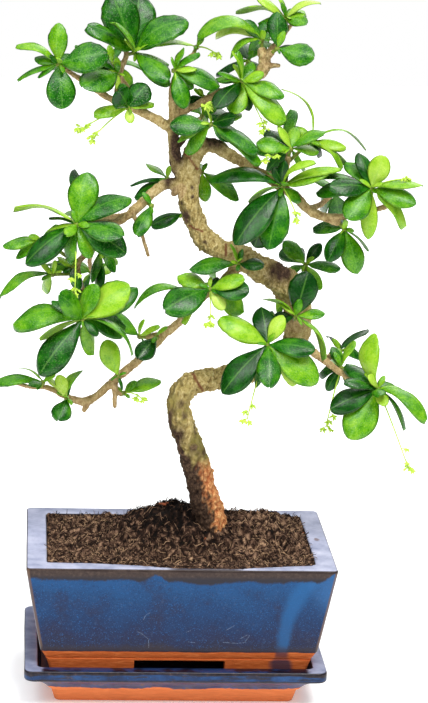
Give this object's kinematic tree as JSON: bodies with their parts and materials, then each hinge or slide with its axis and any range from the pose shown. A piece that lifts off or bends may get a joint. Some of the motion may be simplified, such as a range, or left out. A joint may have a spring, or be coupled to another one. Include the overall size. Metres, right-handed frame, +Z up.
{
  "type": "bonsai tree in pot",
  "caption": "Bonsai tree with a winding trunk, leafy sprays and hanging flower stalks, in soil in a rectangular glazed pot that stands in its drip tray.",
  "frame": {"origin": "middle of the drip tray's flat underside", "axes": "+Z up, +X along the pot's long side to the viewer's right, +Y away from the viewer"},
  "size_m": [0.2765, 0.1344, 0.4537],
  "materials": {
    "tray_glaze": "gloss",
    "pot_glaze": "gloss",
    "peat": "matte",
    "bark": "matte",
    "leaf": "satin"
  },
  "bodies": {
    "root": {"drip_tray": "tray_glaze", "pot": "pot_glaze", "soil": "peat", "tree_wood": "bark", "spray_left_top": "leaf", "spray_left_edge": "leaf", "spray_left_fork": "leaf", "spray_left_middle": "leaf", "spray_left_outer": "leaf", "spray_left_low": "leaf", "spray_low_knee": "leaf", "spray_low_knee_front": "leaf", "spray_low_heart": "leaf", "spray_low_stub": "leaf", "spray_low_left": "leaf", "spray_low_left_edge": "leaf", "spray_middle": "leaf", "spray_middle_left": "leaf", "spray_middle_right": "leaf", "spray_right_up": "leaf", "spray_right_middle": "leaf", "spray_right_front": "leaf", "spray_right_twig": "leaf", "spray_right_end": "leaf", "spray_upper_right": "leaf", "spray_upper_right_back": "leaf", "spray_upper_node": "leaf", "spray_far_right": "leaf", "spray_far_right_low": "leaf", "spray_crown_left": "leaf", "spray_crown_spur": "leaf", "spray_crown_top": "leaf", "spray_crown_low": "leaf", "spray_crown_middle": "leaf", "spray_crown_twig": "leaf", "spray_crown_right": "leaf", "spray_crown_right_top": "leaf", "spray_crown_right_front": "leaf", "spray_crown_right_low": "leaf", "spray_heart": "leaf", "spray_heart_top": "leaf", "spray_crotch": "leaf", "spray_trunk_side": "leaf", "spray_branch_under": "leaf", "spray_trunk_back": "leaf", "spray_far_left_high": "leaf", "spray_far_left_low": "leaf", "spray_far_crown_left": "leaf", "spray_far_crown_middle": "leaf", "spray_far_crown_right": "leaf", "spray_far_middle": "leaf", "spray_far_upper_right": "leaf", "spray_far_right_back": "leaf", "spray_far_low": "leaf", "spray_far_low_right": "leaf"}
  },
  "joints": []
}
